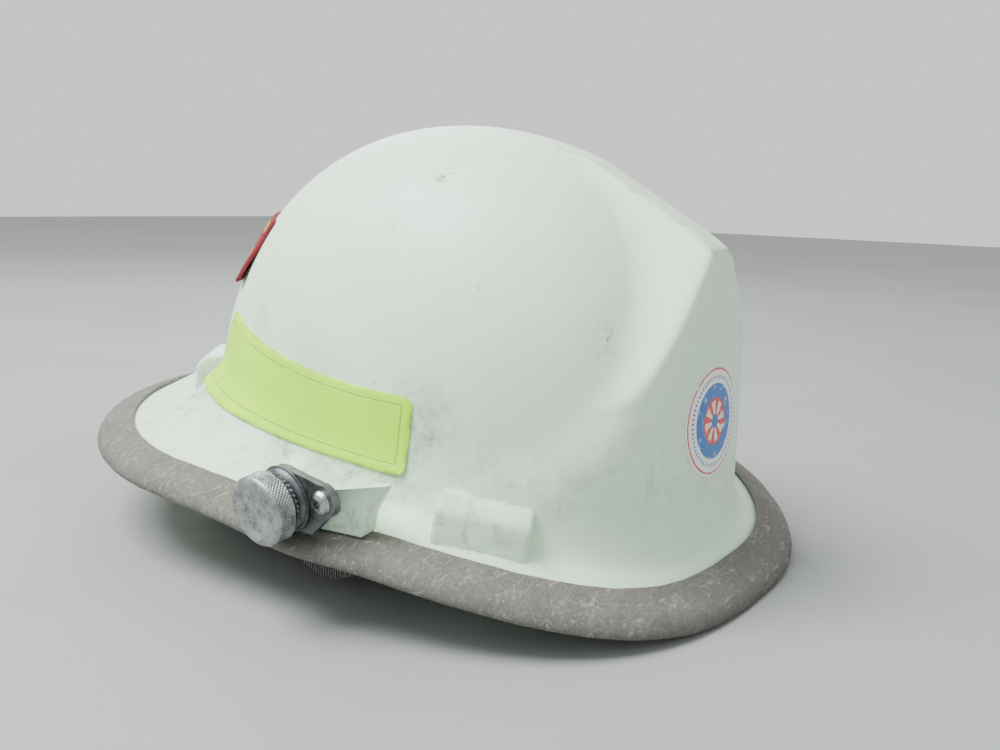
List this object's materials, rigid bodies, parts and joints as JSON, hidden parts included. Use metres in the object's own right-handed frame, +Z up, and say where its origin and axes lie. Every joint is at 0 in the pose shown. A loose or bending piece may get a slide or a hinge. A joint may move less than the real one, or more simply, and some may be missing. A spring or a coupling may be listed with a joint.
{
  "type": "firefighter helmet",
  "caption": "Worn white fire helmet with a front ridge, wrap-round trimmed brim, side reflective panels, knurled face shield hardware and a ratchet headband.",
  "frame": {"origin": "on the table under the middle of the brim", "axes": "+X to the wearer's front, +Y to the wearer's left, +Z up"},
  "size_m": [0.3682, 0.3018, 0.192],
  "materials": {
    "shell": "worn satin",
    "trim": "scuffed matt",
    "emblem": "printed film",
    "reflective": "fluorescent film",
    "patch": "woven",
    "liner_foam": "matt foam",
    "webbing": "woven",
    "padding": "soft cloth",
    "band_plastic": "satin",
    "knob_plastic": "satin",
    "cover_cloth": "woven",
    "lining_cloth": "brushed",
    "bracket_metal": "dark, worn",
    "screw_metal": "bright",
    "spacer_metal": "dark anodised",
    "knob_metal": "knurled, scuffed"
  },
  "bodies": {
    "helmet": {"outer_shell": "shell", "edge_trim": "trim", "front_emblem": "emblem", "reflective_panel_right": "reflective", "reflective_panel_left": "reflective", "rear_patch": "patch", "impact_liner": "liner_foam", "crown_strap_long": "webbing", "crown_strap_right": "webbing", "crown_strap_left": "webbing", "crown_pad": "padding", "headband": "band_plastic", "brow_pad": "padding", "nape_pad": "padding", "ratchet_housing": "band_plastic", "nape_hanger": "band_plastic", "ear_cover": "cover_cloth", "ear_cover_lining": "lining_cloth", "shield_bracket_right": "bracket_metal", "shield_bracket_left": "bracket_metal", "bracket_screws": "screw_metal", "shield_stud_right": "screw_metal", "shield_stud_left": "screw_metal", "spacer_disc_right": "spacer_metal", "spacer_disc_left": "spacer_metal", "star_washer_right": "bracket_metal", "star_washer_left": "bracket_metal"},
    "knob_right": {"shield_knob_right": "knob_metal"},
    "knob_left": {"shield_knob_left": "knob_metal"},
    "ratchet": {"ratchet_knob": "knob_plastic"},
    "rack_right": {"rack_strap_right": "band_plastic"},
    "rack_left": {"rack_strap_left": "band_plastic"}
  },
  "joints": [
    {"name": "knob_right_turn", "type": "hinge", "parent": "helmet", "child": "knob_right", "pos_m": [0.0518, -0.1316, 0.0485], "axis": [0, -0.9903, -0.1392], "range_deg": [-170, 170]},
    {"name": "knob_left_turn", "type": "hinge", "parent": "helmet", "child": "knob_left", "pos_m": [0.0518, 0.1316, 0.0485], "axis": [0, 0.9903, -0.1392], "range_deg": [-170, 170]},
    {"name": "ratchet_turn", "type": "hinge", "parent": "helmet", "child": "ratchet", "pos_m": [-0.0685, 0, 0.024], "axis": [-1, 0, 0], "range_deg": [-68, 68]},
    {"name": "rack_right_slide", "type": "slide", "parent": "helmet", "child": "rack_right", "axis": [0, 1, 0], "range_m": [-0.006, 0.006]},
    {"name": "rack_left_slide", "type": "slide", "parent": "helmet", "child": "rack_left", "axis": [0, -1, 0], "range_m": [-0.006, 0.006]}
  ],
  "couplings": [
    {"joint": "rack_right_slide", "follows": "ratchet_turn", "m_per_rad": 0.005},
    {"joint": "rack_left_slide", "follows": "ratchet_turn", "m_per_rad": 0.005}
  ]
}
